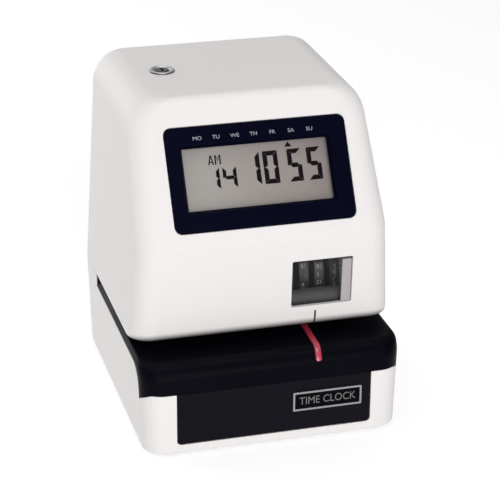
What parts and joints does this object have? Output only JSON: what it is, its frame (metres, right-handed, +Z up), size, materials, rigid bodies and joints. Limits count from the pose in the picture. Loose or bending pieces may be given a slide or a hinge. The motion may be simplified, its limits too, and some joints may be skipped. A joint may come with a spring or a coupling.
{
  "type": "punch time clock",
  "caption": "Electronic punch time clock: white lift-off head with slanted display and print window over a black paper table, throat open on three sides, white base.",
  "frame": {"origin": "middle of the bounding box's footprint at the height of the surface the feet stand on", "axes": "+Z up, -Y towards the user (display and print window), +X to the right seen from the front"},
  "size_m": [0.15, 0.1582, 0.1891],
  "materials": {
    "white_abs": "fine moulded satin texture, warm off-white",
    "black_abs": "semi-gloss blue-black moulding",
    "black_matt": "matt black moulding",
    "bezel_black": "glossy navy-black display frame",
    "plate_metal": "satin plate with a dark field",
    "guide_red": "red guide strip",
    "zinc_steel": "zinc plated sheet",
    "shaft_steel": "ground steel",
    "motor_can": "drawn steel can",
    "dark_steel": "dark laminated or phosphated steel",
    "lock_chrome": "polished",
    "type_brass": "cut brass",
    "type_steel": "dark type wheels with light raised characters",
    "nylon": "natural nylon",
    "rubber": "matt",
    "coil_tape": "amber winding tape",
    "circuit_board": "green solder mask",
    "battery_sleeve": "blue shrink sleeve",
    "button_grey": "moulded",
    "inked_ribbon": "woven inked nylon",
    "smoked_window": "smoked clear acrylic",
    "clear_lens": "clear acrylic",
    "lcd_grey": "reflective grey liquid crystal display",
    "window_grey": "light grey moulding"
  },
  "bodies": {
    "base": {"base_case": "white_abs", "bottom_plate": "zinc_steel", "table": "black_abs", "front_panel": "black_abs", "name_plate": "plate_metal", "guide_strip": "guide_red", "head_floor": "black_matt", "chassis_frame": "zinc_steel", "display_bracket": "zinc_steel", "display_board": "circuit_board", "lcd_glass": "lcd_grey", "main_board": "circuit_board", "switch_board": "circuit_board", "transformer_core": "dark_steel", "transformer_coil": "coil_tape", "power_inlet": "black_matt", "backup_battery": "battery_sleeve", "hammer_bracket": "zinc_steel", "hammer_pin": "shaft_steel", "solenoid_body": "coil_tape", "print_side_left": "zinc_steel", "print_side_right": "zinc_steel", "wheel_shaft": "shaft_steel", "stepper_motor": "motor_can", "ink_ribbon": "inked_ribbon", "card_lever_pin": "shaft_steel", "foot_front_left": "rubber", "foot_front_right": "rubber", "foot_rear_left": "rubber", "foot_rear_right": "rubber", "case_screw_front_left": "zinc_steel", "case_screw_front_right": "zinc_steel", "case_screw_rear_left": "zinc_steel", "case_screw_rear_right": "zinc_steel"},
    "cover": {"head_cover": "white_abs", "display_bezel": "bezel_black", "display_lens": "clear_lens", "window_pane": "smoked_window", "window_strip": "window_grey", "lock_barrel": "lock_chrome"},
    "lock": {"lock_core": "lock_chrome", "lock_cam": "zinc_steel"},
    "minute_wheel": {"type_wheel_minute": "type_steel", "minute_gear": "nylon"},
    "hour_wheel": {"type_wheel_hour": "type_steel"},
    "day_wheel": {"type_wheel_day": "type_steel"},
    "month_wheel": {"type_wheel_month": "type_steel"},
    "pinion": {"motor_pinion": "type_brass"},
    "front_spool": {"ribbon_spool_front": "black_matt"},
    "rear_spool": {"ribbon_spool_rear": "black_matt"},
    "hammer": {"hammer_lever": "dark_steel", "platen_pad": "rubber"},
    "plunger": {"solenoid_plunger": "shaft_steel"},
    "card_sensor": {"card_lever": "nylon"},
    "button_1": {"set_button_1": "button_grey"},
    "button_2": {"set_button_2": "button_grey"},
    "button_3": {"set_button_3": "button_grey"},
    "stop": {"paper_stop": "black_matt"}
  },
  "joints": [
    {"name": "cover_lift", "type": "slide", "parent": "base", "child": "cover", "axis": [0, 0, 1], "range_m": [0, 0.15]},
    {"name": "lock_turn", "type": "hinge", "parent": "cover", "child": "lock", "pos_m": [-0.0375, 0.029, 0.18], "axis": [0, 0, 1], "range_deg": [0, 90]},
    {"name": "minute_wheel_turn", "type": "hinge", "parent": "base", "child": "minute_wheel", "pos_m": [0.044, -0.018, 0.079], "axis": [1, 0, 0], "continuous": true},
    {"name": "hour_wheel_turn", "type": "hinge", "parent": "base", "child": "hour_wheel", "pos_m": [0.035, -0.018, 0.079], "axis": [1, 0, 0], "continuous": true},
    {"name": "day_wheel_turn", "type": "hinge", "parent": "base", "child": "day_wheel", "pos_m": [0.026, -0.018, 0.079], "axis": [1, 0, 0], "continuous": true},
    {"name": "month_wheel_turn", "type": "hinge", "parent": "base", "child": "month_wheel", "pos_m": [0.017, -0.018, 0.079], "axis": [1, 0, 0], "continuous": true},
    {"name": "pinion_turn", "type": "hinge", "parent": "base", "child": "pinion", "pos_m": [0.052, -0.018, 0.1032], "axis": [1, 0, 0], "continuous": true},
    {"name": "front_spool_turn", "type": "hinge", "parent": "base", "child": "front_spool", "pos_m": [0.0325, -0.0435, 0.072], "axis": [1, 0, 0], "continuous": true},
    {"name": "rear_spool_turn", "type": "hinge", "parent": "base", "child": "rear_spool", "pos_m": [0.0325, 0.0075, 0.072], "axis": [1, 0, 0], "continuous": true},
    {"name": "hammer_swing", "type": "hinge", "parent": "base", "child": "hammer", "pos_m": [0.032, 0.024, 0.042], "axis": [-1, 0, 0], "range_deg": [0, 8]},
    {"name": "plunger_slide", "type": "slide", "parent": "base", "child": "plunger", "axis": [0, 0, 1], "range_m": [0, 0.0035]},
    {"name": "card_lever_swing", "type": "hinge", "parent": "base", "child": "card_sensor", "pos_m": [0, 0.005, 0.067], "axis": [1, 0, 0], "range_deg": [0, 25], "stiffness_Nm_per_rad": 0.002},
    {"name": "button_1_press", "type": "slide", "parent": "base", "child": "button_1", "axis": [0, 0, -1], "range_m": [0, 0.0008], "stiffness_N_per_m": 400},
    {"name": "button_2_press", "type": "slide", "parent": "base", "child": "button_2", "axis": [0, 0, -1], "range_m": [0, 0.0008], "stiffness_N_per_m": 400},
    {"name": "button_3_press", "type": "slide", "parent": "base", "child": "button_3", "axis": [0, 0, -1], "range_m": [0, 0.0008], "stiffness_N_per_m": 400},
    {"name": "paper_stop_slide", "type": "slide", "parent": "base", "child": "stop", "axis": [0, -1, 0], "range_m": [0, 0.018]}
  ],
  "couplings": [
    {"joint": "pinion_turn", "follows": "minute_wheel_turn", "ratio": -3},
    {"joint": "hour_wheel_turn", "follows": "minute_wheel_turn", "ratio": 0.041667},
    {"joint": "day_wheel_turn", "follows": "minute_wheel_turn", "ratio": 0.0013441},
    {"joint": "month_wheel_turn", "follows": "minute_wheel_turn", "ratio": 0.00011201},
    {"joint": "rear_spool_turn", "follows": "front_spool_turn", "ratio": 1},
    {"joint": "plunger_slide", "follows": "hammer_swing", "m_per_rad": 0.022}
  ]
}
